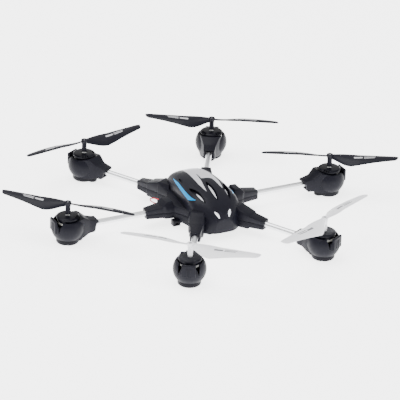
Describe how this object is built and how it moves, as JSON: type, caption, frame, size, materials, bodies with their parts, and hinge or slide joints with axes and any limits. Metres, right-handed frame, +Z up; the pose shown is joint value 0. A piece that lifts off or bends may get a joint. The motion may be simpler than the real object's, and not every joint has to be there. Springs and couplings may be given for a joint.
{
  "type": "six-rotor drone",
  "caption": "Remote-controlled aircraft with a domed canopy, round tube arms, geared motor pods on round feet and two-bladed propellers.",
  "frame": {"origin": "on the ground plane under the feet, on the vertical axis through the centre of the circle of rotor axes", "axes": "+Z up, -Y towards the nose, +X towards the aircraft's left"},
  "size_m": [0.3949, 0.3292, 0.0427],
  "materials": {
    "hull_black": "fine moulded grain",
    "shell_grey": "satin moulded plastic",
    "silver_trim": "satin silver paint",
    "stripe_blue": "glossy",
    "lens_white": "glossy translucent",
    "board_green": "solder mask",
    "battery_wrap": "shrink wrap",
    "wire_red": "soft insulation",
    "plug_cream": "plain",
    "steel": "drawn",
    "screw_steel": "dark zinc",
    "arm_aluminium": "satin drawn tube",
    "gear_nylon": "natural",
    "pinion_brass": "cut",
    "blade_black": "satin, pale printed bars",
    "blade_white": "satin"
  },
  "bodies": {
    "airframe": {"lower_hull": "hull_black", "upper_hull": "shell_grey", "canopy": "shell_grey", "canopy_inlay": "silver_trim", "canopy_stripes": "stripe_blue", "headlights": "lens_white", "circuit_board": "board_green", "battery": "battery_wrap", "battery_lead": "wire_red", "battery_plug": "plug_cream", "switch_body": "steel", "accessory_clip": "hull_black", "motors": "steel", "shaft_bearings": "steel", "hull_screws": "screw_steel", "pod_screws": "screw_steel", "arm_tube_left": "arm_aluminium", "arm_tube_rear_left": "arm_aluminium", "arm_tube_rear_right": "arm_aluminium", "arm_tube_right": "arm_aluminium", "arm_tube_front_right": "arm_aluminium", "arm_tube_front_left": "arm_aluminium", "pod_left": "shell_grey", "pod_rear_left": "shell_grey", "pod_rear_right": "shell_grey", "pod_right": "shell_grey", "pod_front_right": "shell_grey", "pod_front_left": "shell_grey", "pod_cap_left": "hull_black", "pod_cap_rear_left": "hull_black", "pod_cap_rear_right": "hull_black", "pod_cap_right": "hull_black", "pod_cap_front_right": "hull_black", "pod_cap_front_left": "hull_black", "foot_left": "hull_black", "foot_rear_left": "hull_black", "foot_rear_right": "hull_black", "foot_right": "hull_black", "foot_front_right": "hull_black", "foot_front_left": "hull_black"},
    "rotor_left": {"rotor_gear_left": "gear_nylon", "propeller_left": "blade_black"},
    "rotor_rear_left": {"rotor_gear_rear_left": "gear_nylon", "propeller_rear_left": "blade_black"},
    "rotor_rear_right": {"rotor_gear_rear_right": "gear_nylon", "propeller_rear_right": "blade_black"},
    "rotor_right": {"rotor_gear_right": "gear_nylon", "propeller_right": "blade_black"},
    "rotor_front_right": {"rotor_gear_front_right": "gear_nylon", "propeller_front_right": "blade_white"},
    "rotor_front_left": {"rotor_gear_front_left": "gear_nylon", "propeller_front_left": "blade_white"},
    "pinion_left": {"motor_pinion_left": "pinion_brass"},
    "pinion_rear_left": {"motor_pinion_rear_left": "pinion_brass"},
    "pinion_rear_right": {"motor_pinion_rear_right": "pinion_brass"},
    "pinion_right": {"motor_pinion_right": "pinion_brass"},
    "pinion_front_right": {"motor_pinion_front_right": "pinion_brass"},
    "pinion_front_left": {"motor_pinion_front_left": "pinion_brass"},
    "battery_door": {"battery_door": "hull_black"},
    "power_switch": {"power_switch": "hull_black"}
  },
  "joints": [
    {"name": "rotor_left_spin", "type": "hinge", "parent": "airframe", "child": "rotor_left", "pos_m": [0.142, 0, 0.03], "axis": [0, 0, 1], "continuous": true},
    {"name": "rotor_rear_left_spin", "type": "hinge", "parent": "airframe", "child": "rotor_rear_left", "pos_m": [0.071, 0.12298, 0.03], "axis": [0, 0, 1], "continuous": true},
    {"name": "rotor_rear_right_spin", "type": "hinge", "parent": "airframe", "child": "rotor_rear_right", "pos_m": [-0.071, 0.12298, 0.03], "axis": [0, 0, 1], "continuous": true},
    {"name": "rotor_right_spin", "type": "hinge", "parent": "airframe", "child": "rotor_right", "pos_m": [-0.142, 0, 0.03], "axis": [0, 0, 1], "continuous": true},
    {"name": "rotor_front_right_spin", "type": "hinge", "parent": "airframe", "child": "rotor_front_right", "pos_m": [-0.071, -0.12298, 0.03], "axis": [0, 0, 1], "continuous": true},
    {"name": "rotor_front_left_spin", "type": "hinge", "parent": "airframe", "child": "rotor_front_left", "pos_m": [0.071, -0.12298, 0.03], "axis": [0, 0, 1], "continuous": true},
    {"name": "pinion_left_spin", "type": "hinge", "parent": "airframe", "child": "pinion_left", "pos_m": [0.1315, 0, 0.021], "axis": [0, 0, 1], "continuous": true},
    {"name": "pinion_rear_left_spin", "type": "hinge", "parent": "airframe", "child": "pinion_rear_left", "pos_m": [0.06575, 0.11388, 0.021], "axis": [0, 0, 1], "continuous": true},
    {"name": "pinion_rear_right_spin", "type": "hinge", "parent": "airframe", "child": "pinion_rear_right", "pos_m": [-0.06575, 0.11388, 0.021], "axis": [0, 0, 1], "continuous": true},
    {"name": "pinion_right_spin", "type": "hinge", "parent": "airframe", "child": "pinion_right", "pos_m": [-0.1315, 0, 0.021], "axis": [0, 0, 1], "continuous": true},
    {"name": "pinion_front_right_spin", "type": "hinge", "parent": "airframe", "child": "pinion_front_right", "pos_m": [-0.06575, -0.11388, 0.021], "axis": [0, 0, 1], "continuous": true},
    {"name": "pinion_front_left_spin", "type": "hinge", "parent": "airframe", "child": "pinion_front_left", "pos_m": [0.06575, -0.11388, 0.021], "axis": [0, 0, 1], "continuous": true},
    {"name": "battery_door_hinge", "type": "hinge", "parent": "airframe", "child": "battery_door", "pos_m": [0, -0.0245, 0.0043], "axis": [-1, 0, 0], "range_deg": [0, 95]},
    {"name": "power_switch_slide", "type": "slide", "parent": "airframe", "child": "power_switch", "axis": [0, 1, 0], "range_m": [0, 0.0025]}
  ],
  "couplings": [
    {"joint": "pinion_left_spin", "follows": "rotor_left_spin", "ratio": -6},
    {"joint": "pinion_rear_left_spin", "follows": "rotor_rear_left_spin", "ratio": -6},
    {"joint": "pinion_rear_right_spin", "follows": "rotor_rear_right_spin", "ratio": -6},
    {"joint": "pinion_right_spin", "follows": "rotor_right_spin", "ratio": -6},
    {"joint": "pinion_front_right_spin", "follows": "rotor_front_right_spin", "ratio": -6},
    {"joint": "pinion_front_left_spin", "follows": "rotor_front_left_spin", "ratio": -6}
  ]
}
